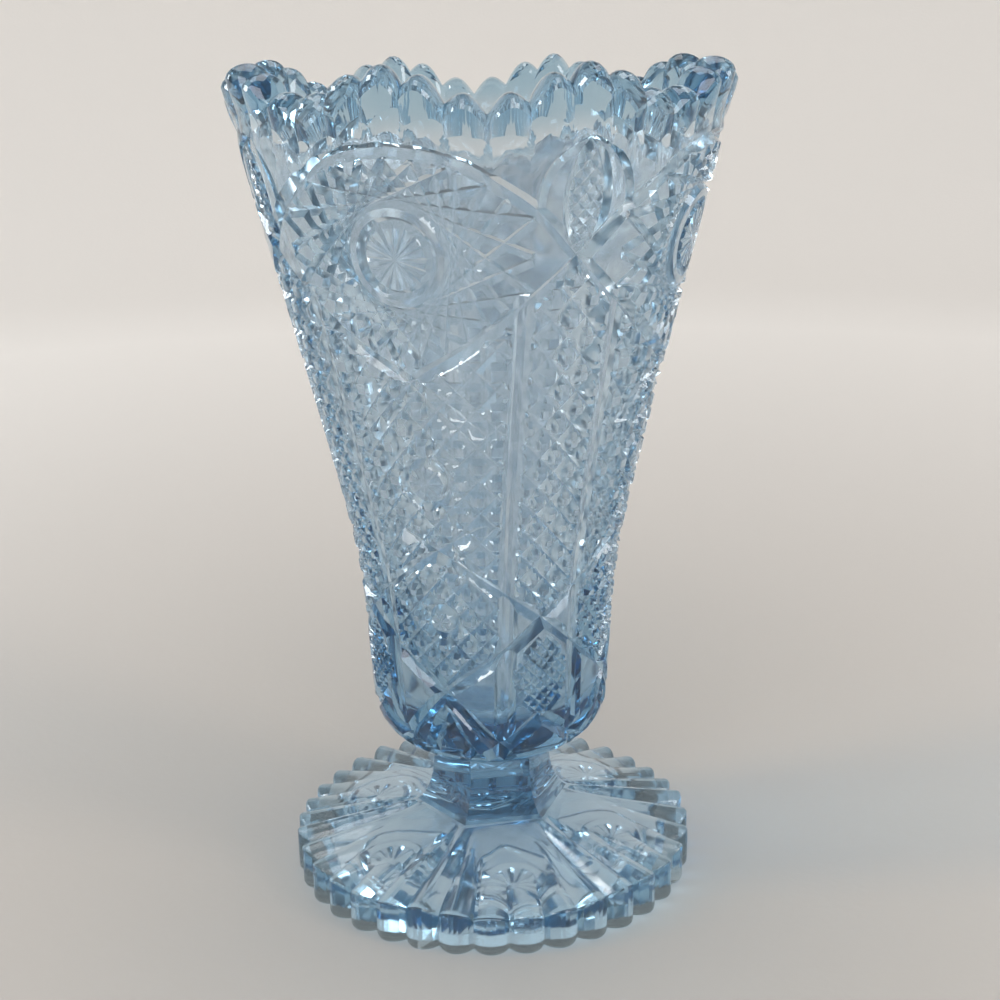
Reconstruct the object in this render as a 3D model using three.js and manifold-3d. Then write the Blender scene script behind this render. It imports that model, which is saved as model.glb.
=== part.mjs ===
// Footed vase of pressed glass in the manner of cut glass: a tall flaring bowl on a short six-sided
// stem and a scalloped foot. It is one pressing, so it is one closed solid. Millimetres and degrees,
// +Z up. The origin is on the axis, in the plane that the foot rests on. Angles are measured from the
// front (-Y) towards +X, and the middle of one wide panel faces the front.
import * as THREE from 'three';
import { mergeVertices } from 'three/addons/utils/BufferGeometryUtils.js';
import Module from 'manifold-3d';

// Foot
const FOOT_RADIUS = 40.5;
const FOOT_SCALLOPS = 36;
const SCALLOP_DEPTH = 1.6;
const FOOT_CROWN_HEIGHT = 13;
const FOOT_CROWN_RADIUS = 16.5;
const FOOT_SLOPE = 0.17;
const FOOT_BEAD_WIDTH = 5.5;
const FOOT_RECESS_DEPTH = 1.6;
const FOOT_RECESS_CROWN = 3;
const FAN_FLUTE_LENGTH = 12;
const FAN_FLUTE_DEPTH = 1.3;
const FAN_FLUTE_WIDTH = 3.4;
const FOOT_STAR_RADIUS = 6.5;
const FOOT_STAR_PLACE = 25;
const FOOT_STAR_LINES = 4;
const FOOT_CUT_WIDTH = 1.6;
const FOOT_CUT_DEPTH = 1;
const PETAL_HALF_ANGLE = 17;
const PETAL_INNER_RADIUS = 13;
const PETAL_OUTER_RADIUS = 34;

// Stem
const STEM_SIDES = 6;
const STEM_RADIUS = 11.9;
const STEM_COVE_HEIGHT = 10;
const STEM_COLLAR_HEIGHT = 3.5;

// Bowl
const BOWL_HEIGHT = 133.5;
const UNDERSIDE_FLAT_RADIUS = 10;
const SHOULDER_HEIGHT = 11.5;
const BEND_HEIGHT = 39.5;
const BEND_RADIUS = 25.7;
const BEND_SOFTNESS = 12;
const LOWER_FLARE = 0.04;
const UPPER_FLARE = 0.245;
const BASE_THICKNESS = 9;
const WELL_FLOOR_RADIUS = 8;
const WELL_CORNER_HEIGHT = 8;
const WELL_CORNER_RADIUS = 15;
const RIM_THICKNESS = 4.6;

// Rim
const RIM_HUMPS = 8;
const RIM_HUMP_RISE = 5;
const TEETH_PER_HUMP = 5;
const TOOTH_DEPTH = 2.8;
const RIM_CHAMFER = 1.4;
const BAND_HEIGHT = 13;

// Levels of the cut pattern, from 0 at its foot to 1 at the crests of the arches
const PATTERN_FOOT = 7.5;
const ARCH_SIDE_LEVEL = 0.975;
const ARCH_SPRING_LEVEL = 0.907;
const UPPER_CROSS_LEVEL = 0.837;
const ARCH_LOWER_SIDE_LEVEL = 0.775;
const UPPER_NODE_LEVEL = 0.648;
const UPPER_ARM_LEVEL = 0.542;
const HOBSTAR_LEVEL = 0.84;
const BUTTON_LEVEL = 0.48;
const LOWER_ARM_LEVEL = 0.41;
const MIDDLE_NODE_LEVEL = 0.352;
const LOWER_CROSS_LEVEL = 0.229;
const SMALL_STAR_LEVEL = 0.235;
const LOWER_NODE_LEVEL = 0.097;
const DIAMOND_FOOT_LEVEL = 0.055;

// Angles of the cut pattern, from the middle of a wide panel
const WIDE_PANELS = 4;
const ARCH_SIDE_ANGLE = 18;
const ARCH_SPRING_ANGLE = 34;
const ARCH_LOWER_SIDE_ANGLE = 56.5;
const FLUTE_FOOT_ANGLE = 27;
const FLUTE_HEAD_ANGLE = 30;
const ARM_ANGLE = 24;

// Widths and depths of the cuts, and the sizes of the stars and buttons between them
const MITRE_WIDTH = 2.6;
const MITRE_DEPTH = 1.5;
const FLUTE_WIDTH = 4.4;
const FLUTE_DEPTH = 1.7;
const BASE_MITRE_WIDTH = 3.4;
const VESICA_HALF_ANGLE = 6;
const VESICA_RISE = 1.5;
const GOTHIC_HALF_ANGLE = 8.5;
const HOBSTAR_RADIUS = 6.6;
const HOBSTAR_LINES = 8;
const HOBSTAR_LINE_WIDTH = 1.7;
const HOBSTAR_LINE_DEPTH = 0.9;
const HOBSTAR_LINE_PLACE = 9.2;
const BUTTON_RADIUS = 4.4;
const SMALL_STAR_RADIUS = 4;
const RING_WIDTH = 1.8;
const RING_DEPTH = 1.2;
const BUTTON_STAR_LINES = 3;
const BUTTON_STAR_WIDTH = 1.1;
const BUTTON_STAR_DEPTH = 0.5;
const HOBNAIL_LEAN = 45;
const HOBNAIL_PITCH = 9;
const HOBNAIL_WIDTH = 4.6;
const HOBNAIL_DEPTH = 1.5;
const FIELD_MARGIN = 1.2;

// Fineness of the facets
const TURN_STEPS = 40;
const SIDE_STEPS = 4;
const CURVE_STEPS = 4;
const RING_STEPS = 8;
const TOOTH_STEPS = 4;
const SCALLOP_STEPS = 4;
const CUT_STEP = 9;
const MITRE_TURN = 13;
const SEARCH_STEP = 0.4;
const SLOPE_STEP = 0.1;
const CUTTER_LIFT = 2;
const OVERSIZE = 3;
const CUT_TOLERANCE = 0.25;

// Heights and turns that follow from these
const STEM_COLLAR_BASE = FOOT_CROWN_HEIGHT + STEM_COVE_HEIGHT;
const BOWL_BASE = STEM_COLLAR_BASE + STEM_COLLAR_HEIGHT;
const HEIGHT = BOWL_BASE + BOWL_HEIGHT;
const WELL_FLOOR = BOWL_BASE + BASE_THICKNESS;
const PANEL_TURN = 360 / WIDE_PANELS;
const HALF_PANEL_TURN = PANEL_TURN / 2;
const SHOULDER = BOWL_BASE + SHOULDER_HEIGHT;
const PATTERN_BASE = BOWL_BASE + PATTERN_FOOT;
const PATTERN_TOP = HEIGHT - BAND_HEIGHT;

const wasm = await Module();
wasm.setup();

const radians = THREE.MathUtils.degToRad;
const polar = (radius, angle, height) => new THREE.Vector3(
  radius * Math.sin(radians(angle)), -radius * Math.cos(radians(angle)), height);
const levelHeight = (level) => PATTERN_BASE + level * (PATTERN_TOP - PATTERN_BASE);

// Turns a closed three.js geometry into a solid that can be joined and cut.
function toSolid(geometry) {
  geometry.deleteAttribute('normal');
  geometry.deleteAttribute('uv');
  const merged = mergeVertices(geometry, 1e-4);
  const index = merged.index.array;
  const corners = [];
  for (let i = 0; i < index.length; i += 3) {
    const [a, b, c] = [index[i], index[i + 1], index[i + 2]];
    if (a !== b && b !== c && c !== a) corners.push(a, b, c);
  }
  const mesh = new wasm.Mesh({
    numProp: 3,
    vertProperties: new Float32Array(merged.attributes.position.array),
    triVerts: new Uint32Array(corners),
  });
  return new wasm.Manifold(mesh);
}

// A solid of revolution about +Z. The profile runs from the axis to the axis, upwards on its outside.
function revolve(profile, steps) {
  const geometry = new THREE.LatheGeometry(profile.map(([r, z]) => new THREE.Vector2(r, z)), steps);
  geometry.rotateX(Math.PI / 2);
  return toSolid(geometry);
}

// Skins rows of points into one closed solid: each row is a closed ring of the same count.
function skinRings(rings, closedLoop) {
  const count = rings[0].length;
  const spans = closedLoop ? rings.length : rings.length - 1;
  const corners = [];
  for (let i = 0; i < spans; i += 1) {
    const here = i * count;
    const next = ((i + 1) % rings.length) * count;
    for (let j = 0; j < count; j += 1) {
      const k = (j + 1) % count;
      corners.push(here + j, next + k, next + j, here + j, here + k, next + k);
    }
  }
  if (!closedLoop) {
    const last = (rings.length - 1) * count;
    for (let j = 1; j < count - 1; j += 1) {
      corners.push(0, j + 1, j, last, last + j, last + j + 1);
    }
  }
  const geometry = new THREE.BufferGeometry().setFromPoints(rings.flat());
  geometry.setIndex(corners);
  return toSolid(geometry);
}

// Outer radius of the bowl's side at a height: two straight flares joined by a soft bend.
function sideRadius(height) {
  const up = height - BOWL_BASE - BEND_HEIGHT;
  const turn = Math.hypot(up, BEND_SOFTNESS) - BEND_SOFTNESS;
  return BEND_RADIUS + (UPPER_FLARE + LOWER_FLARE) / 2 * up + (UPPER_FLARE - LOWER_FLARE) / 2 * turn;
}

function bowlRadius(height) {
  if (height >= SHOULDER) return sideRadius(height);
  const fall = Math.min((SHOULDER - height) / SHOULDER_HEIGHT, 1);
  return UNDERSIDE_FLAT_RADIUS
    + (sideRadius(SHOULDER) - UNDERSIDE_FLAT_RADIUS) * Math.sqrt(1 - fall * fall);
}

// The blank bowl, with its well, before the rim is shaped and the pattern is cut.
function bowlBlank() {
  const profile = [[0, BOWL_BASE], [UNDERSIDE_FLAT_RADIUS, BOWL_BASE]];
  for (let i = 1; i <= CURVE_STEPS; i += 1) {
    const height = SHOULDER - SHOULDER_HEIGHT * Math.cos(Math.PI / 2 * i / CURVE_STEPS);
    profile.push([bowlRadius(height), height]);
  }
  const top = HEIGHT + OVERSIZE;
  for (let i = 1; i <= SIDE_STEPS; i += 1) {
    const height = SHOULDER + (top - SHOULDER) * i / SIDE_STEPS;
    profile.push([sideRadius(height), height]);
  }
  const cornerTop = WELL_FLOOR + WELL_CORNER_HEIGHT;
  const mouthRadius = sideRadius(HEIGHT) - RIM_THICKNESS;
  const wellFlare = (mouthRadius - WELL_CORNER_RADIUS) / (HEIGHT - cornerTop);
  profile.push([mouthRadius + wellFlare * OVERSIZE, top]);
  for (let i = 0; i <= CURVE_STEPS; i += 1) {
    const turn = Math.PI / 2 * i / CURVE_STEPS;
    profile.push([
      WELL_FLOOR_RADIUS + (WELL_CORNER_RADIUS - WELL_FLOOR_RADIUS) * Math.cos(turn),
      cornerTop - WELL_CORNER_HEIGHT * Math.sin(turn),
    ]);
  }
  profile.push([0, WELL_FLOOR]);
  return revolve(profile, TURN_STEPS);
}

// Height of the wavy, toothed rim line at an angle.
function rimLine(angle) {
  const hump = RIM_HUMP_RISE / 2 * (1 - Math.cos(radians(RIM_HUMPS * angle)));
  const tooth = Math.abs(Math.cos(radians(RIM_HUMPS * TEETH_PER_HUMP * angle / 2)));
  return HEIGHT - hump - TOOTH_DEPTH * (1 - tooth ** 0.7);
}

// What is taken off above the rim line, with both edges of the rim chamfered.
function rimCutter() {
  const outer = sideRadius(HEIGHT);
  const inner = outer - RIM_THICKNESS;
  const columns = RIM_HUMPS * TEETH_PER_HUMP * TOOTH_STEPS;
  const reach = RIM_CHAMFER + OVERSIZE;
  const rings = [];
  for (let i = 0; i < columns; i += 1) {
    const angle = 360 * i / columns;
    const line = rimLine(angle);
    rings.push([
      polar(inner - OVERSIZE, angle, HEIGHT + reach),
      polar(inner - OVERSIZE, angle, line - reach),
      polar(inner + RIM_CHAMFER, angle, line),
      polar(outer - RIM_CHAMFER, angle, line),
      polar(outer + OVERSIZE, angle, line - reach),
      polar(outer + OVERSIZE, angle, HEIGHT + reach),
    ]);
  }
  return skinRings(rings.reverse(), true);
}

// One V-shaped cut. Each station is a point on the surface with its outward normal, and may be
// shallower than the full depth.
function vCut(stations, width, depth, closedLoop = false) {
  const count = stations.length;
  const rings = stations.map(({ point, normal, share = 1 }, i) => {
    const before = stations[closedLoop ? (i + count - 1) % count : Math.max(i - 1, 0)].point;
    const after = stations[closedLoop ? (i + 1) % count : Math.min(i + 1, count - 1)].point;
    const across = new THREE.Vector3().subVectors(after, before).cross(normal).normalize();
    const slant = width / 2 / depth;
    const half = slant * (depth * share + CUTTER_LIFT);
    const crown = point.clone().addScaledVector(normal, CUTTER_LIFT);
    return [
      point.clone().addScaledVector(normal, -depth * share),
      crown.clone().addScaledVector(across, -half),
      crown.clone().addScaledVector(across, half),
    ];
  });
  return skinRings(rings, closedLoop);
}

// Stations on the bowl's outside, from a path of angle and height pairs.
function bowlStation([angle, height]) {
  const rise = bowlRadius(height + SLOPE_STEP) - bowlRadius(height - SLOPE_STEP);
  const slope = rise / (2 * SLOPE_STEP);
  return {
    point: polar(bowlRadius(height), angle, height),
    normal: polar(1, angle, -slope).normalize(),
  };
}

const bowlCut = (path, width, depth, closedLoop) => (
  vCut(path.map(bowlStation), width, depth, closedLoop));

// A smooth curve through named nodes, sampled as angle and height pairs.
function curveThrough(nodes) {
  const spline = new THREE.SplineCurve(nodes.map(([angle, height]) => new THREE.Vector2(angle, height)));
  return spline.getPoints(CURVE_STEPS * (nodes.length - 1)).map(({ x, y }) => [x, y]);
}

function heightOn(curve, angle) {
  let i = 1;
  while (i < curve.length - 1 && curve[i][0] < angle) i += 1;
  const [[a0, z0], [a1, z1]] = [curve[i - 1], curve[i]];
  return z0 + (z1 - z0) * (angle - a0) / (a1 - a0);
}

// The two lines that set out the whole pattern. Each starts near the middle of a wide panel and runs
// down to the right across the narrow panel into the next wide one; each has a mirrored twin.
const ARCH = curveThrough([
  [0, levelHeight(1)],
  [ARCH_SIDE_ANGLE, levelHeight(ARCH_SIDE_LEVEL)],
  [ARCH_SPRING_ANGLE, levelHeight(ARCH_SPRING_LEVEL)],
  [HALF_PANEL_TURN, levelHeight(UPPER_CROSS_LEVEL)],
  [ARCH_LOWER_SIDE_ANGLE, levelHeight(ARCH_LOWER_SIDE_LEVEL)],
  [PANEL_TURN, levelHeight(UPPER_NODE_LEVEL)],
  [PANEL_TURN + ARM_ANGLE, levelHeight(UPPER_ARM_LEVEL)],
]);
const SASH = curveThrough([
  [-ARM_ANGLE, levelHeight(LOWER_ARM_LEVEL)],
  [0, levelHeight(MIDDLE_NODE_LEVEL)],
  [HALF_PANEL_TURN, levelHeight(LOWER_CROSS_LEVEL)],
  [PANEL_TURN, levelHeight(LOWER_NODE_LEVEL)],
  [PANEL_TURN + ARM_ANGLE, levelHeight(0)],
]);

const fluteAngle = (height) => THREE.MathUtils.mapLinear(
  height, levelHeight(0), levelHeight(UPPER_CROSS_LEVEL), FLUTE_FOOT_ANGLE, FLUTE_HEAD_ANGLE);

const halfFluteTurn = (height) => THREE.MathUtils.radToDeg(FLUTE_WIDTH / 2 / sideRadius(height));

// A path and its mirror image in the middle of a wide panel.
function mirrored(path) {
  return [path, path.map(([angle, height]) => [-angle, height])];
}

// Evenly turned stations on a line that runs round the bowl, as fine as its curve round the axis needs.
function alongLine(curve) {
  const first = curve[0][0];
  const last = curve[curve.length - 1][0];
  const steps = Math.ceil((last - first) / MITRE_TURN);
  return Array.from({ length: steps + 1 }, (_, i) => {
    const angle = THREE.MathUtils.lerp(first, last, i / steps);
    return [angle, heightOn(curve, angle)];
  });
}

const every = (path, step) => path.filter((_, i) => i % step === 0 || i === path.length - 1);

function mitreCuts() {
  const cuts = [];
  for (const path of [...mirrored(alongLine(ARCH)), ...mirrored(alongLine(SASH))]) {
    cuts.push({ path, width: MITRE_WIDTH, depth: MITRE_DEPTH });
  }
  const fluteTop = levelHeight(ARCH_LOWER_SIDE_LEVEL);
  const flute = [levelHeight(0), levelHeight(LOWER_CROSS_LEVEL), levelHeight(BUTTON_LEVEL), fluteTop]
    .map((height) => [fluteAngle(height), height]);
  for (const path of mirrored(flute)) {
    cuts.push({ path, width: FLUTE_WIDTH, depth: FLUTE_DEPTH });
  }
  const diamondFoot = [
    [HALF_PANEL_TURN, levelHeight(DIAMOND_FOOT_LEVEL)],
    [FLUTE_FOOT_ANGLE, levelHeight(0)],
  ];
  const outwards = diamondFoot.map(([angle, height]) => [PANEL_TURN - angle, height]);
  for (const path of [diamondFoot, outwards]) {
    cuts.push({ path, width: BASE_MITRE_WIDTH, depth: MITRE_DEPTH });
  }
  return cuts;
}

// The pointed figure between two arches: an inner leaf down to the crossing, and two outer arcs.
function vesicaCuts() {
  const top = levelHeight(1) + VESICA_RISE;
  const foot = levelHeight(UPPER_CROSS_LEVEL);
  const middle = (top + foot) / 2;
  const cuts = [];
  for (const side of [-1, 1]) {
    const leaf = curveThrough([
      [HALF_PANEL_TURN, top],
      [HALF_PANEL_TURN + side * VESICA_HALF_ANGLE, middle],
      [HALF_PANEL_TURN, foot],
    ]);
    const gothic = curveThrough([
      [HALF_PANEL_TURN, top],
      [HALF_PANEL_TURN + side * GOTHIC_HALF_ANGLE, (top + middle) / 2],
      [HALF_PANEL_TURN + side * (HALF_PANEL_TURN - ARCH_SPRING_ANGLE), levelHeight(ARCH_SPRING_LEVEL)],
    ]);
    cuts.push({ path: every(leaf, 2), width: HOBSTAR_LINE_WIDTH, depth: MITRE_DEPTH });
    cuts.push({ path: every(gothic, 2), width: HOBSTAR_LINE_WIDTH, depth: MITRE_DEPTH });
  }
  return cuts;
}

// A flat drawing plane laid on the bowl: millimetres across and up from a centre on its side.
function drawingPlane(angle, height) {
  const perTurn = THREE.MathUtils.radToDeg(1 / sideRadius(height));
  return (x, y) => [angle + x * perTurn, height + y];
}

// A round button: a ring groove, and a star of cuts across its flat top.
function buttonCuts(centre, radius) {
  const ring = [];
  for (let i = 0; i < RING_STEPS; i += 1) {
    const turn = 2 * Math.PI * i / RING_STEPS;
    ring.push(centre(radius * Math.cos(turn), radius * Math.sin(turn)));
  }
  const cuts = [{ path: ring, width: RING_WIDTH, depth: RING_DEPTH, closedLoop: true }];
  for (let i = 0; i < BUTTON_STAR_LINES; i += 1) {
    const turn = Math.PI * (i + 0.5) / BUTTON_STAR_LINES;
    const [x, y] = [radius * Math.cos(turn), radius * Math.sin(turn)];
    const path = [centre(-x, -y), centre(x, y)];
    cuts.push({ path, width: BUTTON_STAR_WIDTH, depth: BUTTON_STAR_DEPTH });
  }
  return cuts;
}

// Cuts along one straight line of the drawing plane, wherever it lies inside the field.
function lineCuts(centre, start, direction, reach, inside, size) {
  const cuts = [];
  const at = (t) => centre(start.x + direction.x * t, start.y + direction.y * t);
  let entry = null;
  for (let t = -reach; t <= reach + SEARCH_STEP; t += SEARCH_STEP) {
    const within = t <= reach && inside(...at(t));
    if (within && entry === null) entry = t;
    if (!within && entry !== null) {
      const length = t - SEARCH_STEP - entry;
      const steps = Math.ceil(length / CUT_STEP);
      const path = Array.from({ length: steps + 1 }, (_, i) => at(entry + length * i / steps));
      if (length > size.width) cuts.push({ path, ...size });
      entry = null;
    }
  }
  return cuts;
}

// Two families of parallel cuts that lean across each other and leave raised hobnails between them.
function hobnailCuts(centre, reach, inside) {
  const cuts = [];
  const count = Math.ceil(reach / HOBNAIL_PITCH);
  for (const turn of [radians(HOBNAIL_LEAN), radians(-HOBNAIL_LEAN)]) {
    const direction = new THREE.Vector2(Math.cos(turn), Math.sin(turn));
    for (let i = -count; i < count; i += 1) {
      const offset = (i + 0.5) * HOBNAIL_PITCH;
      const start = new THREE.Vector2(-direction.y, direction.x).multiplyScalar(offset);
      const size = { width: HOBNAIL_WIDTH, depth: HOBNAIL_DEPTH };
      cuts.push(...lineCuts(centre, start, direction, reach, inside, size));
    }
  }
  return cuts;
}

// The large star of an arched panel: straight cuts that just miss the button and cross all round it.
function hobstarCuts() {
  const height = levelHeight(HOBSTAR_LEVEL);
  const centre = drawingPlane(0, height);
  const inside = (angle, z) => Math.abs(angle) < ARCH_SPRING_ANGLE
    && z < heightOn(ARCH, Math.abs(angle)) - FIELD_MARGIN
    && z > heightOn(ARCH, PANEL_TURN - Math.abs(angle)) + FIELD_MARGIN;
  const size = { width: HOBSTAR_LINE_WIDTH, depth: HOBSTAR_LINE_DEPTH };
  const cuts = buttonCuts(centre, HOBSTAR_RADIUS);
  for (let i = 0; i < HOBSTAR_LINES; i += 1) {
    const turn = 2 * Math.PI * (i + 0.5) / HOBSTAR_LINES;
    const start = new THREE.Vector2(Math.cos(turn), Math.sin(turn)).multiplyScalar(HOBSTAR_LINE_PLACE);
    const direction = new THREE.Vector2(-Math.sin(turn), Math.cos(turn));
    cuts.push(...lineCuts(centre, start, direction, PATTERN_TOP - height + HOBSTAR_RADIUS, inside, size));
  }
  return cuts;
}

const outsideCircle = (angle, z, height, radius) => (
  Math.hypot(radians(angle) * sideRadius(height), z - height) > radius + RING_WIDTH / 2);

// Hobnails round a button, in the middle of a wide panel.
function wideFieldCuts() {
  const height = levelHeight(BUTTON_LEVEL);
  const centre = drawingPlane(0, height);
  const inside = (angle, z) => Math.abs(angle) < fluteAngle(z) - halfFluteTurn(z)
    && z < heightOn(ARCH, PANEL_TURN + Math.abs(angle)) - FIELD_MARGIN
    && z > heightOn(SASH, -Math.abs(angle)) + FIELD_MARGIN
    && outsideCircle(angle, z, height, BUTTON_RADIUS);
  return [
    ...buttonCuts(centre, BUTTON_RADIUS),
    ...hobnailCuts(centre, PATTERN_TOP - height, inside),
  ];
}

// Hobnails in columns, down the narrow panel.
function narrowFieldCuts() {
  const height = (levelHeight(UPPER_CROSS_LEVEL) + levelHeight(LOWER_CROSS_LEVEL)) / 2;
  const centre = drawingPlane(HALF_PANEL_TURN, height);
  const inside = (angle, z) => {
    const away = Math.abs(angle - HALF_PANEL_TURN);
    return away < HALF_PANEL_TURN - fluteAngle(z) - halfFluteTurn(z)
      && z < heightOn(ARCH, HALF_PANEL_TURN + away) - FIELD_MARGIN
      && z > heightOn(SASH, HALF_PANEL_TURN - away) + FIELD_MARGIN;
  };
  return hobnailCuts(centre, PATTERN_TOP - height, inside);
}

// A small button in the diamond low on a wide panel.
function smallButtonCuts() {
  return buttonCuts(drawingPlane(0, levelHeight(SMALL_STAR_LEVEL)), SMALL_STAR_RADIUS);
}

// Every cut of one wide and one narrow panel, repeated round the bowl.
function bowlPattern() {
  const cuts = [
    ...mitreCuts(), ...vesicaCuts(), ...hobstarCuts(), ...wideFieldCuts(), ...narrowFieldCuts(),
    ...smallButtonCuts(),
  ];
  const solids = [];
  for (let panel = 0; panel < WIDE_PANELS; panel += 1) {
    for (const { path, width, depth, closedLoop } of cuts) {
      const turned = path.map(([angle, height]) => [angle + panel * PANEL_TURN, height]);
      solids.push(bowlCut(turned, width, depth, closedLoop));
    }
  }
  return wasm.Manifold.union(solids);
}

// Height of the foot's top at a radius and an angle: six flat panels that meet on soft ridges.
function footTop(radius, angle) {
  const panel = 360 / STEM_SIDES;
  const fromMiddle = ((angle % panel) + panel) % panel - panel / 2;
  const cornerRadius = radius * Math.cos(radians(fromMiddle)) / Math.cos(radians(panel / 2));
  return FOOT_CROWN_HEIGHT - FOOT_SLOPE * (cornerRadius - FOOT_CROWN_RADIUS);
}

function footOutline() {
  const outline = new THREE.Shape();
  const count = FOOT_SCALLOPS * SCALLOP_STEPS;
  for (let i = 0; i < count; i += 1) {
    const turn = 2 * Math.PI * i / count;
    const lobe = Math.abs(Math.cos(FOOT_SCALLOPS * turn / 2));
    const radius = FOOT_RADIUS - SCALLOP_DEPTH * (1 - lobe ** 0.7);
    const [x, y] = [radius * Math.sin(turn), -radius * Math.cos(turn)];
    if (i === 0) outline.moveTo(x, y);
    else outline.lineTo(x, y);
  }
  return outline;
}

// The stem and foot: six-sided throughout, trimmed to the scalloped outline at the edge.
function stemAndFoot() {
  const corner = Math.cos(Math.PI / STEM_SIDES);
  const blankRadius = FOOT_RADIUS / corner + OVERSIZE;
  const profile = [[0, 0], [blankRadius, 0]];
  profile.push([blankRadius, FOOT_CROWN_HEIGHT - FOOT_SLOPE * (blankRadius - FOOT_CROWN_RADIUS)]);
  for (let i = 0; i <= CURVE_STEPS; i += 1) {
    const turn = Math.PI / 2 * i / CURVE_STEPS;
    profile.push([
      FOOT_CROWN_RADIUS - (FOOT_CROWN_RADIUS - STEM_RADIUS) * Math.sin(turn),
      FOOT_CROWN_HEIGHT + STEM_COVE_HEIGHT * (1 - Math.cos(turn)),
    ]);
  }
  const bedded = BOWL_BASE + OVERSIZE;
  profile.push([STEM_RADIUS, bedded], [0, bedded]);
  const outline = new THREE.ExtrudeGeometry(footOutline(), { depth: bedded + OVERSIZE, bevelEnabled: false });
  outline.translate(0, 0, -OVERSIZE / 2);
  return revolve(profile, STEM_SIDES).intersect(toSolid(outline));
}

// The hollow under the foot, which leaves a flat bead to rest on.
function recessHeight(radius) {
  const share = radius / (FOOT_RADIUS - FOOT_BEAD_WIDTH);
  return THREE.MathUtils.lerp(FOOT_RECESS_CROWN, FOOT_RECESS_DEPTH, share);
}

function footRecess() {
  const mouth = FOOT_RADIUS - FOOT_BEAD_WIDTH;
  return revolve([
    [0, -OVERSIZE], [mouth, -OVERSIZE], [mouth, 0],
    [mouth - FOOT_RECESS_DEPTH, FOOT_RECESS_DEPTH], [0, FOOT_RECESS_CROWN],
  ], TURN_STEPS / 2);
}

// Flutes that fan in from the gaps between scallops and die away.
function fanFlutes() {
  const flutes = [];
  for (let i = 0; i < FOOT_SCALLOPS; i += 1) {
    const angle = 360 * (i + 0.5) / FOOT_SCALLOPS;
    const stations = [0, 1].map((share) => {
      const radius = FOOT_RADIUS - FAN_FLUTE_LENGTH * (1 - share);
      return {
        point: polar(radius, angle, footTop(radius, angle)),
        normal: new THREE.Vector3(0, 0, 1),
        share,
      };
    });
    flutes.push(vCut(stations, FAN_FLUTE_WIDTH, FAN_FLUTE_DEPTH));
  }
  return flutes;
}

// Stars and pointed petals pressed into the underside of the foot, one of each to a panel.
function underCuts() {
  const cuts = [];
  const down = new THREE.Vector3(0, 0, -1);
  const station = (x, y) => {
    const point = new THREE.Vector3(x, y, recessHeight(Math.hypot(x, y)));
    return { point, normal: down };
  };
  const panel = 360 / STEM_SIDES;
  for (let i = 0; i < STEM_SIDES; i += 1) {
    const middle = panel * (i + 0.5);
    const { x, y } = polar(FOOT_STAR_PLACE, middle, 0);
    for (let j = 0; j < FOOT_STAR_LINES; j += 1) {
      const turn = radians(middle) + Math.PI * (j + 0.5) / FOOT_STAR_LINES;
      const [dx, dy] = [FOOT_STAR_RADIUS * Math.cos(turn), FOOT_STAR_RADIUS * Math.sin(turn)];
      cuts.push(vCut([station(x - dx, y - dy), station(x + dx, y + dy)], FOOT_CUT_WIDTH, FOOT_CUT_DEPTH));
    }
    for (const side of [-1, 1]) {
      const stations = [];
      for (let j = 0; j <= CURVE_STEPS; j += 1) {
        const share = j / CURVE_STEPS;
        const radius = THREE.MathUtils.lerp(PETAL_INNER_RADIUS, PETAL_OUTER_RADIUS - FOOT_CUT_WIDTH, share);
        const angle = middle + side * PETAL_HALF_ANGLE * Math.sin(Math.PI * share);
        const at = polar(radius, angle, 0);
        stations.push(station(at.x, at.y));
      }
      cuts.push(vCut(stations, FOOT_CUT_WIDTH, FOOT_CUT_DEPTH));
    }
  }
  return cuts;
}

// The bowl's cuts leave slivers where they cross, and those within the tolerance are merged.
const bowl = bowlBlank().subtract(wasm.Manifold.union([rimCutter(), bowlPattern()]));
const foot = stemAndFoot().subtract(wasm.Manifold.union([footRecess(), ...fanFlutes(), ...underCuts()]));
const pressing = bowl.asOriginal().simplify(CUT_TOLERANCE).add(foot);
const { vertProperties, triVerts } = pressing.getMesh();

const geometry = new THREE.BufferGeometry();
geometry.setAttribute('position', new THREE.BufferAttribute(vertProperties, 3));
geometry.setIndex(new THREE.BufferAttribute(triVerts, 1));
geometry.computeVertexNormals();

const glass = new THREE.MeshStandardMaterial({
  name: 'ice_blue_glass', color: 0x9fc4dc, roughness: 0.05, metalness: 0, transparent: true, opacity: 0.45,
});
const vase = new THREE.Mesh(geometry, glass);
vase.name = 'footed_vase';

const part = new THREE.Group();
part.add(vase);
export default part;
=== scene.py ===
# %% [markdown]
# # A footed vase of pressed glass
# The vase is one pressing: a tall flaring bowl, a short six-sided stem and a scalloped foot, all
# covered with V-shaped cuts like those of hand-cut crystal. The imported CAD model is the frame: it fixes
# every size and place, and the piece made here stands in for it with finer cuts and real glass.

# %% Load the frame
import bisect
import math

import bmesh
import bpy
from mathutils import Matrix, Vector


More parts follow.
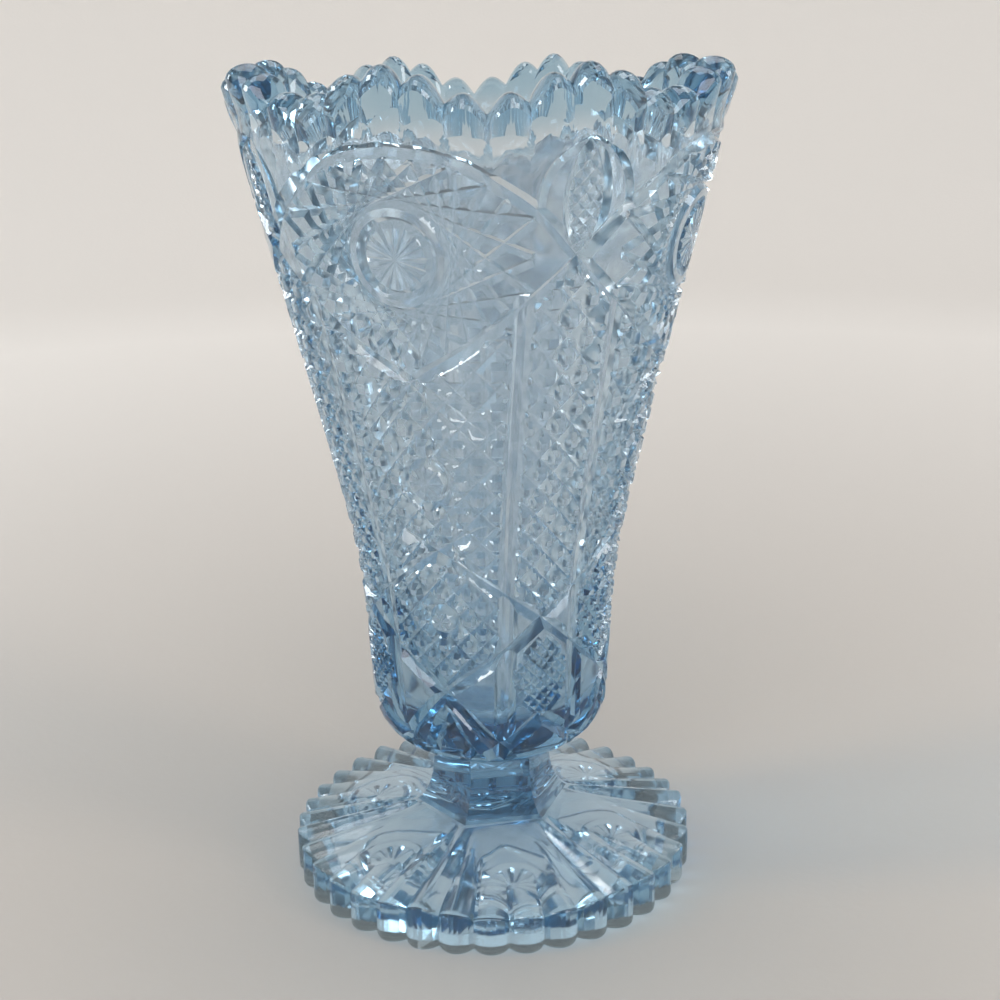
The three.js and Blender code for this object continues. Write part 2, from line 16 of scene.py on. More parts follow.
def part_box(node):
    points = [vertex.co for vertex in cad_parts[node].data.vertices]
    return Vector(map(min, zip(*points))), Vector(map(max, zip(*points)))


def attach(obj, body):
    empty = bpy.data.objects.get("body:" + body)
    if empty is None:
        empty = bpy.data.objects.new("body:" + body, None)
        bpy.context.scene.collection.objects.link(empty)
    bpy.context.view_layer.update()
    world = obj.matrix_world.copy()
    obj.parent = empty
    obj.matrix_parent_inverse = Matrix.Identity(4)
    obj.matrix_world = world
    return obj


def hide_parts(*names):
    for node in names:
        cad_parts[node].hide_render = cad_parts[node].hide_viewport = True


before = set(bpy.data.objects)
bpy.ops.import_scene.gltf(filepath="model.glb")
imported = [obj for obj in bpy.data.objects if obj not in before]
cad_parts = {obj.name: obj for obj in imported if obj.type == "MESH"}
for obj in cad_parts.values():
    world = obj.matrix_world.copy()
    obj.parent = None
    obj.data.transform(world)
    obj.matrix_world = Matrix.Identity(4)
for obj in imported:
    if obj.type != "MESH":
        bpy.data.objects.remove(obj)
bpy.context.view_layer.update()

MM = 0.001
low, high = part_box("footed_vase")
print("CAD box in mm:", [round(value / MM, 2) for value in (*low, *high)])

# %% [markdown]
# The vase is drawn in millimetres, as on a maker's drawing, and is brought down to metres once it is
# whole, because small cuts keep their precision better that way. The sizes below are the CAD model's
# own. Angles are measured from the front (-Y) towards +X, and the middle of a wide panel faces the front.

# %% Sizes of the bowl
HEIGHT = high.z / MM
STEM_COLLAR_BASE = 23.0
BOWL_BASE = 26.5
SHOULDER = 38.0
UNDERSIDE_FLAT_RADIUS = 10.0
BEND = 66.0
BEND_RADIUS = 25.7
BEND_SOFTNESS = 12.0
LOWER_FLARE = 0.04
UPPER_FLARE = 0.245
RIM_THICKNESS = 4.6
WELL_FLOOR = 35.5
WELL_FLOOR_RADIUS = 8.0
WELL_CORNER = 43.5
WELL_CORNER_RADIUS = 15.0
PANELS = 4
PANEL_TURN = 90.0


def turned(radius, angle, height):
    """The point at that radius, angle and height."""
    turn = math.radians(angle)
    return Vector((radius * math.sin(turn), -radius * math.cos(turn), height))


def ramp(value, start, end):
    """0 before start, 1 after end, and smooth between."""
    share = min(max((value - start) / (end - start), 0), 1)
    return share * share * (3 - 2 * share)


def steps(start, end, count):
    """The values from start to end in that many equal steps, both ends included."""
    return [start + (end - start) * i / count for i in range(count + 1)]


def side_radius(height):
    """Outer radius of the bowl's side: two straight flares joined by a soft bend."""
    up = height - BEND
    turn = math.hypot(up, BEND_SOFTNESS) - BEND_SOFTNESS
    return BEND_RADIUS + (UPPER_FLARE + LOWER_FLARE) / 2 * up + (UPPER_FLARE - LOWER_FLARE) / 2 * turn


def bowl_radius(height):
    """Outer radius of the bowl, with the rounded shoulder under it."""
    if height >= SHOULDER:
        return side_radius(height)
    fall = min((SHOULDER - height) / (SHOULDER - BOWL_BASE), 1)
    reach = side_radius(SHOULDER) - UNDERSIDE_FLAT_RADIUS
    return UNDERSIDE_FLAT_RADIUS + reach * math.sqrt(1 - fall * fall)


print("bowl's radius at the rim and the base:", round(bowl_radius(HEIGHT), 2), round(bowl_radius(BOWL_BASE), 2))

# %% Helpers that make and combine objects
def new_object(name, points, faces, edges=()):
    mesh = bpy.data.meshes.new(name)
    mesh.from_pydata(points, edges, faces)
    mesh.update()
    obj = bpy.data.objects.new(name, mesh)
    bpy.context.scene.collection.objects.link(obj)
    return obj


def choose(obj):
    bpy.ops.object.select_all(action="DESELECT")
    obj.select_set(True)
    bpy.context.view_layer.objects.active = obj


def spin_profile(name, profile, columns, weld=1e-3, inward=False):
    """Spins a profile of (radius, height) pairs round the axis and welds points closer than weld. A
    profile from the axis back to the axis gives a closed solid."""
    points = [(0.0, -radius, height) for radius, height in profile]
    obj = new_object(name, points, [], [(i, i + 1) for i in range(len(points) - 1)])
    choose(obj)
    bpy.ops.object.mode_set(mode="EDIT")
    bpy.ops.mesh.select_all(action="SELECT")
    bpy.ops.mesh.spin(steps=columns, angle=2 * math.pi, center=(0, 0, 0), axis=(0, 0, 1))
    bpy.ops.mesh.select_all(action="SELECT")
    bpy.ops.mesh.remove_doubles(threshold=weld)
    bpy.ops.mesh.normals_make_consistent(inside=inward)
    bpy.ops.object.mode_set(mode="OBJECT")
    return obj


def combine(obj, tools, operation):
    """Cuts tools from obj one after another, or joins them to it, and deletes them."""
    for tool in tools:
        choose(obj)
        modifier = obj.modifiers.new("combine", "BOOLEAN")
        modifier.object = tool
        modifier.operation = operation
        modifier.solver = "MANIFOLD"
        bpy.ops.object.modifier_apply(modifier=modifier.name)
        mesh = tool.data
        bpy.data.objects.remove(tool)
        bpy.data.meshes.remove(mesh)
    print(obj.name, operation, len(tools), "tools:", len(obj.data.polygons), "faces")


# %% [markdown]
# ## The blank bowl and its rim
# A presser's mould gives the bowl as a body of revolution, so a profile is drawn from the axis up the
# outside, over the rim and down into the well, and spun. The rim then gets its eight humps and forty
# rounded teeth by moving the vertices near it: columns of vertices are close there, and every other one
# is dissolved lower down, where nothing needs it.

# %% Spin the blank bowl
COLUMNS = 400
RIM_ZONE = 138.0
RIM_ROUND = RIM_THICKNESS / 2


def well_radius(height):
    """Radius of the well's straight side."""
    mouth = side_radius(HEIGHT) - RIM_THICKNESS
    return WELL_CORNER_RADIUS + (mouth - WELL_CORNER_RADIUS) * (height - WELL_CORNER) / (HEIGHT - WELL_CORNER)


def bowl_profile():
    profile = [(0.0, BOWL_BASE), (UNDERSIDE_FLAT_RADIUS, BOWL_BASE)]
    for turn in steps(0, math.pi / 2, 8)[1:]:
        height = SHOULDER - (SHOULDER - BOWL_BASE) * math.cos(turn)
        profile.append((bowl_radius(height), height))
    shoulder = HEIGHT - RIM_ROUND
    for height in steps(SHOULDER, RIM_ZONE, 12)[1:] + steps(RIM_ZONE, shoulder, 11)[1:]:
        profile.append((side_radius(height), height))
    middle = side_radius(shoulder) - RIM_ROUND
    for turn in steps(0, math.pi, 9)[1:-1]:
        profile.append((middle + RIM_ROUND * math.cos(turn), shoulder + RIM_ROUND * math.sin(turn)))
    for height in steps(shoulder, RIM_ZONE, 5) + steps(RIM_ZONE, WELL_CORNER, 6)[1:]:
        profile.append((well_radius(height), height))
    for turn in steps(0, math.pi / 2, 8)[1:]:
        radius = WELL_FLOOR_RADIUS + (WELL_CORNER_RADIUS - WELL_FLOOR_RADIUS) * math.cos(turn)
        profile.append((radius, WELL_CORNER - (WELL_CORNER - WELL_FLOOR) * math.sin(turn)))
    profile.append((0.0, WELL_FLOOR))
    return profile


bowl = spin_profile("bowl", bowl_profile(), COLUMNS)
print("blank bowl:", len(bowl.data.vertices), "vertices")

# %% Shape the rim
HUMPS = 8
HUMP_RISE = 5.0
TEETH = 40
TOOTH_DEPTH = 2.8
BOSS_DEPTH = 1.2
BOSS_LENGTH = 6.5
BEAD_DEPTH = 2.8
BEAD_FULL_TO = 4.0
BEAD_ENDS_AT = 11.0
BAND_RECESS = 0.7


def tooth_lobe(angle):
    """1 on the crest of a tooth and 0 in the valley between two."""
    return abs(math.cos(math.radians(TEETH * angle / 2)))


def rim_line(angle):
    hump = HUMP_RISE / 2 * (1 - math.cos(math.radians(HUMPS * angle)))
    return HEIGHT - hump - TOOTH_DEPTH * (1 - tooth_lobe(angle))


def shape_rim(obj):
    """Moves the vertices near the rim: up and down for humps and teeth, and in and out for rounded teeth."""
    for vertex in obj.data.vertices:
        x, y, height = vertex.co
        if height < RIM_ZONE:
            continue
        radius, angle = math.hypot(x, y), math.degrees(math.atan2(x, -y))
        line = rim_line(angle)
        lift = (line - HEIGHT) * ramp(height, RIM_ZONE, HEIGHT - RIM_ROUND)
        moved = height + lift
        below = line - moved
        outer = side_radius(height)
        across = min(max((radius - (outer - RIM_THICKNESS)) / RIM_THICKNESS, 0), 1)
        valley = BOSS_DEPTH * (1 - tooth_lobe(angle))
        boss = valley + (BAND_RECESS - valley) * ramp(below, BOSS_LENGTH - 2, BOSS_LENGTH + 1.5)
        boss *= 1 - ramp(below, BOSS_LENGTH + 2, BOSS_LENGTH + 6)
        bead = BEAD_DEPTH * (0.5 + 0.5 * tooth_lobe(angle)) * (1 - ramp(below, BEAD_FULL_TO, BEAD_ENDS_AT))
        radius += side_radius(moved) - outer - boss * across - bead * (1 - across)
        vertex.co = turned(radius, angle, moved)


shape_rim(bowl)

# %% Thin the columns below the rim
ON_AXIS = 1e-3


def thin_columns(obj, limit):
    """Dissolves every other column of vertices below a height."""
    mesh = bmesh.new()
    mesh.from_mesh(obj.data)

    def odd(vertex):
        x, y, height = vertex.co
        turn = math.degrees(math.atan2(x, -y)) / (360 / COLUMNS)
        return height < limit and math.hypot(x, y) > ON_AXIS and round(turn) % 2 == 1

    def upright(edge):
        one, other = edge.verts
        flat_one, flat_other = Vector(one.co[:2]), Vector(other.co[:2])
        if min(flat_one.length, flat_other.length) < ON_AXIS:
            return True
        return flat_one.angle(flat_other) < math.radians(0.2)

    edges = [edge for edge in mesh.edges if upright(edge) and (odd(edge.verts[0]) or odd(edge.verts[1]))
             and all(odd(v) or v.co.z >= limit or Vector(v.co[:2]).length < ON_AXIS for v in edge.verts)]
    bmesh.ops.dissolve_edges(mesh, edges=edges, use_verts=True)
    mesh.to_mesh(obj.data)
    mesh.free()


thin_columns(bowl, RIM_ZONE + 0.01)
print("shaped bowl:", len(bowl.data.vertices), "vertices")

# %% [markdown]
# ## The cutting wheel
# Cut crystal gets its pattern from a wheel with a V-shaped edge, and pressed glass copies it. A groove
# here is the space that such a wheel takes: a triangle swept along a path on the bowl, square to its
# surface. No operator keeps a section square to another surface, so the sweep is made in mesh code.
# Grooves that don't touch each other share one tool, which keeps the number of tools low.

# %% Sections of a cut
LIFT = 1.2


def v_section(width, depth):
    """The wheel's edge as (across, up) pairs. A share under 1 is a shallower and narrower cut."""
    slant = width / 2 / depth

    def section(share):
        half = slant * (depth * share + LIFT)
        return [(0, -depth * share), (-half, LIFT), (half, LIFT)]
    return section


def round_section(width, depth, sides=6):
    """A hollow with a round floor, as a broad stone wheel leaves it."""
    radius = (width * width / 4 + depth * depth) / (2 * depth)

    def section(share):
        half = width / 2 * share ** 0.5
        floor = [(-half + 2 * half * i / sides) for i in range(sides + 1)]
        points = [(x, -depth * share * (1 - (x / half) ** 2)) for x in floor]
        flare = half / radius * LIFT + half
        return points[::-1] + [(-flare, LIFT), (flare, LIFT)]
    return section


# %% Sweep a groove along a path
def signed_volume(points, faces):
    """Positive where the faces point outwards."""
    total = 0.0
    for face in faces:
        for i in range(1, len(face) - 1):
            total += points[face[0]].dot(points[face[i]].cross(points[face[i + 1]]))
    return total


def groove(stations, section, closed=False):
    """Points and faces of the space that the wheel takes along stations of (point, normal, share)."""
    count = len(stations)
    rings = []
    for i, (point, normal, share) in enumerate(stations):
        before = stations[(i - 1) % count if closed else max(i - 1, 0)][0]
        after = stations[(i + 1) % count if closed else min(i + 1, count - 1)][0]
        across = (after - before).cross(normal).normalized()
        rings.append([point + across * x + normal * y for x, y in section(share)])
    size = len(rings[0])
    faces = []
    for i in range(count if closed else count - 1):
        here, there = i * size, (i + 1) % count * size
        for j in range(size):
            k = (j + 1) % size
            faces.append((here + j, there + j, there + k, here + k))
    if not closed:
        faces.append(tuple(range(size)))
        faces.append(tuple(range((count - 1) * size, count * size))[::-1])
    points = [point for ring in rings for point in ring]
    if signed_volume(points, faces) < 0:
        faces = [face[::-1] for face in faces]
    return points, faces


# %% Make grooves into a tool
def tool(name, grooves):
    """One object of grooves that don't touch each other."""
    points, faces = [], []
    for more_points, more_faces in grooves:
        start = len(points)
        points += more_points
        faces += [tuple(start + i for i in face) for face in more_faces]
    return new_object(name, points, faces)


def bowl_station(angle, height, share):
    """A point on the bowl, its outward normal there, and the share of the cut's full size."""
    slope = (bowl_radius(height + 0.05) - bowl_radius(height - 0.05)) / 0.1
    return turned(bowl_radius(height), angle, height), turned(1, angle, -slope).normalized(), share


def bowl_tool(name, paths, section, closed=False):
    """The grooves of one wide and one narrow panel, repeated round the bowl. A path is a list of
    (angle, height, share)."""
    grooves = []
    for panel in range(PANELS):
        for path in paths:
            stations = []
            for angle, height, share in path:
                stations.append(bowl_station(angle + panel * PANEL_TURN, height, share))
            grooves.append(groove(stations, section, closed))
    return tool(name, grooves)


# %% [markdown]
# ## Laying out the pattern
# Two curved lines and their mirror images set out the whole bowl: the arch, which runs from the top of a
# wide panel down across the narrow one, and the sash below it. The fields between them are drawn on an
# unrolled bowl, where height is measured in degrees like the angle, so that a small square stays square
# as the bowl narrows. That is how a mould maker keeps the buttons round from rim to foot.

# %% The lines of the pattern
ARCH = [(0, 147), (9, 146.2), (18, 144.2), (25.5, 140.7), (34, 136.5), (45, 128.6), (56.5, 121.6), (63, 118.5),
        (74.5, 113), (90, 107.2), (114, 95.2)]
SASH = [(-24, 80.3), (0, 73.8), (20, 67.7), (45, 59.9), (64.5, 53), (90, 45), (114, 34), (122, 30)]
ARCH_END = 114.0
SASH_START = -24.0
SASH_END = 122.0
ARCH_SPRING = 34.0
FLUTE_FOOT = (27.0, 34.0)
FLUTE_HEAD = (31.5, 122.5)
DIAMOND_FOOT = (45.0, 40.0)


def smooth_line(nodes, angle):
    """Height of a smooth curve through the nodes at that angle."""
    i = min(max(bisect.bisect([node[0] for node in nodes], angle), 1), len(nodes) - 1)
    (a0, z0), (a1, z1) = nodes[i - 1], nodes[i]
    before = nodes[max(i - 2, 0)]
    after = nodes[min(i + 1, len(nodes) - 1)]
    slope_0 = (z1 - before[1]) / (a1 - before[0])
    slope_1 = (after[1] - z0) / (after[0] - a0)
    t, span = (angle - a0) / (a1 - a0), a1 - a0
    return ((1 + 2 * t) * (1 - t) ** 2 * z0 + t * (1 - t) ** 2 * span * slope_0
            + t * t * (3 - 2 * t) * z1 + t * t * (t - 1) * span * slope_1)


def arch(angle):
    """Height of the arch's line at that angle from the middle of its wide panel."""
    return smooth_line(ARCH, angle)


def sash(angle):
    """Height of the sash's line at that angle."""
    return smooth_line(SASH, angle)


def flute_angle(height):
    """Angle of the flute's middle line at that height."""
    share = (height - FLUTE_FOOT[1]) / (FLUTE_HEAD[1] - FLUTE_FOOT[1])
    return FLUTE_FOOT[0] + (FLUTE_HEAD[0] - FLUTE_FOOT[0]) * share


# %% Unroll the bowl
UNROLL_STEP = 0.25
LEVELS = [27.5]
UNROLLED = [0.0]
while LEVELS[-1] < HEIGHT:
    LEVELS.append(LEVELS[-1] + UNROLL_STEP)
    UNROLLED.append(UNROLLED[-1] + math.degrees(UNROLL_STEP / bowl_radius(LEVELS[-1])))


def between(inputs, outputs, value):
    """The output for a value, from two lists that rise together."""
    i = min(max(bisect.bisect(inputs, value), 1), len(inputs) - 1)
    share = (value - inputs[i - 1]) / (inputs[i] - inputs[i - 1])
    return outputs[i - 1] + (outputs[i] - outputs[i - 1]) * share


def unrolled(height):
    """The level in degrees of a height in millimetres."""
    return between(LEVELS, UNROLLED, height)


def rolled(level):
    return between(UNROLLED, LEVELS, level)


# %% Paths on the unrolled bowl
def path_on(points, size_at=None, taper=(0, 0)):
    """A path of (angle, height, share) from points on the unrolled bowl. size_at is the height at which
    the cut has its full width, and taper the degrees over which it rises from each end."""
    lengths = [0.0]
    for one, other in zip(points, points[1:]):
        lengths.append(lengths[-1] + math.dist(one, other))
    path = []
    for (angle, level), length in zip(points, lengths):
        height = rolled(level)
        share = 1.0 if size_at is None else bowl_radius(height) / bowl_radius(size_at)
        if taper[0]:
            share *= min(length / taper[0], 1)
        if taper[1]:
            share *= min((lengths[-1] - length) / taper[1], 1)
        path.append((angle, height, share))
    return path


def line_through(line, first, last, step=3.0):
    """Points on the unrolled bowl along one of the two lines."""
    count = math.ceil((last - first) / step)
    return [(angle, unrolled(line(angle))) for angle in steps(first, last, count)]


def mirror(path):
    return [(-angle, *rest) for angle, *rest in path]


# %% [markdown]
# The mitres are the deep lines between the fields, the flutes the smooth broad hollows that separate the
# wide panels from the narrow ones.

# %% Mitres and flutes
MITRE = v_section(2.8, 1.8)
BASE_MITRE = v_section(3.4, 1.6)
FLUTE = round_section(4.2, 1.5)
PEAK_TOP = 41.0
PEAK_FOOT = 29.8
PEAK_HALF = 13.0
MITRE_TAPER = 6
FLUTE_PARTS = 24
DIAMOND_FOOT_PARTS = 6
PEAK_PARTS = 5


def diamond_foot(share):
    """A point on the line from the diamond's foot to the flute's and, past a share of 1, on down the base."""
    angle = DIAMOND_FOOT[0] + (FLUTE_FOOT[0] - DIAMOND_FOOT[0]) * share
    height = DIAMOND_FOOT[1] + (FLUTE_FOOT[1] - DIAMOND_FOOT[1]) * share
    return angle, unrolled(height)


def peak(share):
    """A point on the peaked line under a wide panel, with its top at a share of 0."""
    return PEAK_HALF * share, unrolled(PEAK_TOP + (PEAK_FOOT - PEAK_TOP) * abs(share))


arch_path = path_on(line_through(arch, 0, ARCH_END), taper=(0, MITRE_TAPER))
sash_path = path_on(line_through(sash, SASH_START, SASH_END), taper=(MITRE_TAPER, 0))
flute_levels = steps(unrolled(FLUTE_FOOT[1]), unrolled(FLUTE_HEAD[1]), FLUTE_PARTS)
flute_path = path_on([(flute_angle(rolled(level)), level) for level in flute_levels])
foot_path = path_on([diamond_foot(i / DIAMOND_FOOT_PARTS) for i in range(11)])
foot_twin = [(PANEL_TURN - angle, height, share) for angle, height, share in foot_path]
peak_path = path_on([peak(i / PEAK_PARTS) for i in range(-PEAK_PARTS, PEAK_PARTS + 1)])
tools = []
for path, name in ((arch_path, "arches"), (sash_path, "sashes")):
    tools.append(bowl_tool(name, [path], MITRE))
    tools.append(bowl_tool(name + "_twin", [mirror(path)], MITRE))
tools.append(bowl_tool("flutes", [flute_path, mirror(flute_path)], FLUTE))
tools.append(bowl_tool("diamond_feet", [foot_path], BASE_MITRE))
tools.append(bowl_tool("diamond_feet_twin", [foot_twin], BASE_MITRE))
tools.append(bowl_tool("peaks", [peak_path], BASE_MITRE))
print("mitres and flutes:", len(tools), "tools")

# %% [markdown]
# ## Fields of buttons and diamonds
# A field is filled with parallel cuts in two to four directions. A cut is kept only where it lies inside
# the field, which a small test of angle and height decides. A plain strip of glass, the land, stays along
# each mitre, so that the lines between the fields keep their full strength.

# %% Hatch a field with parallel cuts
SEARCH = 0.2


def spans_on_line(origin, direction, reach, inside):
    """The stretches of a line on the unrolled bowl that lie inside a field."""
    found, entry = [], None
    count = int(2 * reach / SEARCH)
    for i in range(count + 2):
        t = -reach + i * SEARCH
        angle, level = origin[0] + direction[0] * t, origin[1] + direction[1] * t
        within = i <= count and UNROLLED[0] < level < UNROLLED[-1] and inside(angle, rolled(level))
        if within and entry is None:
            entry = t
        if not within and entry is not None:
            if t - entry > 4 * SEARCH:
                found.append((entry, t - SEARCH))
            entry = None
    return found


def straight_paths(origin, slope, reach, inside, size_at, step=2.2):
    """Paths along a straight line on the unrolled bowl, one for each stretch inside the field."""
    direction = (math.cos(math.radians(slope)), math.sin(math.radians(slope)))
    paths = []
    for start, end in spans_on_line(origin, direction, reach, inside):
        count = max(math.ceil((end - start) / step), 2)
        times = steps(start, end, count)
        points = [(origin[0] + direction[0] * t, origin[1] + direction[1] * t) for t in times]
        paths.append(path_on(points, size_at))
    return paths


def hatch(centre, slope, pitch, reach, inside, size_at):
    """Parallel cuts across a field in one direction, half a pitch to each side of its centre and on."""
    angle, level = centre[0], unrolled(centre[1])
    across = (-math.sin(math.radians(slope)), math.cos(math.radians(slope)))
    paths = []
    for i in range(-int(reach / pitch) - 1, int(reach / pitch) + 2):
        offset = (i + 0.5) * pitch
        origin = (angle + across[0] * offset, level + across[1] * offset)
        paths += straight_paths(origin, slope, reach, inside, size_at)
    return paths


# %% Where the fields lie
LAND = 1.7
FLUTE_LAND = 3.8
HALF_TURN = PANEL_TURN / 2


def outside_disc(centre, radius):
    """A test for places outside a disc. The radius is in degrees."""
    level = unrolled(centre[1])
    return lambda angle, height: math.hypot(angle - centre[0], unrolled(height) - level) > radius


def in_top_field(angle, height):
    """Under the arch, round the hobstar."""
    side = abs(angle)
    return side < ARCH_SPRING - 1 and arch(PANEL_TURN - side) + LAND < height < arch(side) - LAND


def in_wide_field(angle, height):
    """The middle of a wide panel, between the crossing arches and the sash."""
    side = abs(angle)
    if side >= flute_angle(height) - FLUTE_LAND:
        return False
    return sash(side) + LAND < height < arch(PANEL_TURN - side) - LAND


def in_narrow_field(angle, height):
    """The narrow panel, between the flutes of two wide ones."""
    side = abs(angle - HALF_TURN)
    if side >= HALF_TURN - flute_angle(height) - FLUTE_LAND:
        return False
    lower = max(sash(HALF_TURN + side), sash(HALF_TURN - side))
    upper = min(arch(HALF_TURN + side), arch(HALF_TURN - side))
    return lower + LAND < height < upper - LAND


def in_low_field(angle, height):
    """Low on a wide panel, between two sashes."""
    side = abs(angle)
    if side >= flute_angle(height) - FLUTE_LAND:
        return False
    return sash(PANEL_TURN - side) + LAND < height < sash(side) - LAND


# %% Buttons with star-cut tops
def ring_path(centre, radius, count=24):
    """A circle on the unrolled bowl."""
    level = unrolled(centre[1])
    points = [(centre[0] + radius * math.cos(2 * math.pi * i / count),
               level + radius * math.sin(2 * math.pi * i / count)) for i in range(count)]
    return path_on(points, centre[1])


def ray_paths(centre, inner, outer, rays, phase=0.0):
    """Short tapered cuts from near the middle of a button to its edge."""
    level = unrolled(centre[1])
    paths = []
    for i in range(rays):
        turn = 2 * math.pi * (i + phase) / rays
        points = []
        for radius in steps(inner, outer, 4):
            points.append((centre[0] + radius * math.cos(turn), level + radius * math.sin(turn)))
        path = path_on(points, centre[1])
        paths.append([(a, z, share * (0.12 + 0.88 * j / 4)) for j, (a, z, share) in enumerate(path)])
    return paths


def degrees_at(size, height):
    """Millimetres at that height, as degrees on the unrolled bowl."""
    return math.degrees(size / bowl_radius(height))


# %% Cut the hobstars and buttons
HOBSTAR = (0.0, 129.0)
HOBSTAR_RADIUS = degrees_at(6.2, HOBSTAR[1])
BUTTON = (0.0, 88.0)
BUTTON_RADIUS = degrees_at(4.3, BUTTON[1])
LOW_STAR = (0.0, 60.0)
LOW_STAR_RADIUS = degrees_at(2.9, LOW_STAR[1])
RING = v_section(1.9, 1.3)
DEEP_RING = v_section(2.2, 1.7)
RAY = v_section(1.15, 0.5)
RAY_START = 0.8
RAY_GAP = 0.6

hobstar_ring = ring_path(HOBSTAR, HOBSTAR_RADIUS, 36)
tools.append(bowl_tool("hobstar_ring", [hobstar_ring], RING, closed=True))
for phase in (0.0, 0.5):
    rays = ray_paths(HOBSTAR, RAY_START, HOBSTAR_RADIUS - RAY_GAP, 8, phase)
    tools.append(bowl_tool("hobstar_rays", rays, RAY))
for centre, radius, count in ((BUTTON, BUTTON_RADIUS, 8), (LOW_STAR, LOW_STAR_RADIUS, 6)):
    rays = ray_paths(centre, RAY_START, radius - RAY_GAP, count)
    tools.append(bowl_tool("button_ring", [ring_path(centre, radius)], DEEP_RING, closed=True))
    tools.append(bowl_tool("button_rays", rays, RAY))

# %% [markdown]
# Straight cuts that all pass the hobstar at the same distance make the web of small triangles round it.

# %% Cut the web round the hobstars
WEB = v_section(1.7, 1.2)
WEB_LINES = 24
WEB_PLACE = degrees_at(9.2, HOBSTAR[1])
WEB_REACH = 60

for i in range(WEB_LINES // 2):
    paths = []
    for side in (0, 180):
        turn = math.radians(360 / WEB_LINES * (i + 0.5) + side)
        origin = (HOBSTAR[0] + WEB_PLACE * math.cos(turn), unrolled(HOBSTAR[1]) + WEB_PLACE * math.sin(turn))
        paths += straight_paths(origin, math.degrees(turn) + 90, WEB_REACH, in_top_field, HOBSTAR[1])
    tools.append(bowl_tool("hobstar_web", paths, WEB))
print("with hobstars, buttons and webs:", len(tools), "tools")

# %% [markdown]
# The fields are cut four ways. The deeper pair runs aslant, and the finer pair takes off the corners of
# the diamonds that are left, which makes hobnails of them.

# %% Fill the fields
WIDE_PITCH = 8.6
NARROW_PITCH = 7.6
NARROW_MIDDLE = (HALF_TURN, 92.0)
DIAGONAL_CUT = v_section(2.4, 1.7)
SQUARE_CUT = v_section(1.6, 1.1)

clear_of_button = outside_disc(BUTTON, BUTTON_RADIUS + 2.0)
clear_of_star = outside_disc(LOW_STAR, LOW_STAR_RADIUS + 1.5)


def wide_field(angle, height):
    return in_wide_field(angle, height) and clear_of_button(angle, height)


def low_field(angle, height):
    return in_low_field(angle, height) and clear_of_star(angle, height)


FIELDS = [
    ("wide", BUTTON, WIDE_PITCH, 70, wide_field),
    ("narrow", NARROW_MIDDLE, NARROW_PITCH, 70, in_narrow_field),
    ("low", LOW_STAR, WIDE_PITCH, 45, low_field),
]
for name, centre, pitch, reach, inside in FIELDS:
    for slope in (45, 135):
        paths = hatch(centre, slope, pitch, reach, inside, centre[1])
        tools.append(bowl_tool(name + "_diagonal", paths, DIAGONAL_CUT))
    for slope in (0, 90):
        paths = hatch(centre, slope, pitch / math.sqrt(2), reach, inside, centre[1])
        tools.append(bowl_tool(name + "_square", paths, SQUARE_CUT))
print("with fields:", len(tools), "tools")

# %% [markdown]
# Where two arches meet stands a pointed leaf. An arc on each side of it runs from its top down to the
# arch, and makes the pointed window that the leaf stands in.

# %% Pointed leaves in their windows
LEAF_TOP = 148.0
LEAF_HALF = 4.9
LEAF_CUT = v_section(1.7, 1.3)
WINDOW_FOOT = 11
WINDOW_SHOULDER = 8.5
leaf_foot = arch(HALF_TURN)


def leaf_half(height):
    """Half-width of the leaf in degrees."""
    share = (height - leaf_foot) / (LEAF_TOP - leaf_foot)
    return LEAF_HALF * math.sin(math.pi * min(max(share, 0), 1)) ** 0.75


def leaf_side(side):
    heights = steps(LEAF_TOP, leaf_foot, 12)
    return path_on([(HALF_TURN + side * leaf_half(height), unrolled(height)) for height in heights])


def window_side(side):
    """A bent arc from the leaf's top, past a shoulder, to the arch."""
    foot = arch(ARCH_SPRING)
    shoulder = (LEAF_TOP + foot) / 2 + 1.5
    arc = []
    for t in steps(0, 1, 8):
        bend, end = 4 * t * (1 - t), t * (2 * t - 1)
        angle = HALF_TURN + side * (bend * WINDOW_SHOULDER + end * WINDOW_FOOT)
        arc.append((angle, unrolled(LEAF_TOP + bend * (shoulder - LEAF_TOP) + end * (foot - LEAF_TOP))))
    return path_on(arc)


for side in (-1, 1):
    tools.append(bowl_tool("leaf", [leaf_side(side)], LEAF_CUT))
    tools.append(bowl_tool("outer_arc", [window_side(side)], LEAF_CUT))
print("with leaves:", len(tools), "tools")

# %% [markdown]
# Fine crosshatching fills the leaves, and a diamond below each of them, low on the narrow panel.

# %% Crosshatched leaves and diamonds
CROSSHATCH = v_section(1.2, 0.7)
CROSSHATCH_REACH = 26
LEAF_MIDDLE = (HALF_TURN, 138.0)
LEAF_PITCH = 2.5
DIAMOND = (HALF_TURN, 48.3)
DIAMOND_HALF = (14.5, 8.3)
DIAMOND_PITCH = 4.1


def in_leaf(angle, height):
    return leaf_foot < height < LEAF_TOP and abs(angle - HALF_TURN) < leaf_half(height) - 0.4


def in_diamond(angle, height):
    """A diamond whose sides bow out a little."""
    across, up = (angle - DIAMOND[0]) / DIAMOND_HALF[0], (height - DIAMOND[1]) / DIAMOND_HALF[1]
    return abs(across) ** 1.35 + abs(up) ** 1.35 < 1


CROSSHATCHED = [(LEAF_MIDDLE, 138, LEAF_PITCH, in_leaf), (DIAMOND, 48, DIAMOND_PITCH, in_diamond)]
for centre, size_at, pitch, inside in CROSSHATCHED:
    for slope in (45, 135):
        paths = hatch(centre, slope, pitch, CROSSHATCH_REACH, inside, size_at)
        tools.append(bowl_tool("crosshatch", paths, CROSSHATCH))
print("with crosshatching:", len(tools), "tools")

# %% [markdown]
# All the cuts are now taken out of the bowl, one tool after another.

# %% Cut the pattern
combine(bowl, tools, "DIFFERENCE")

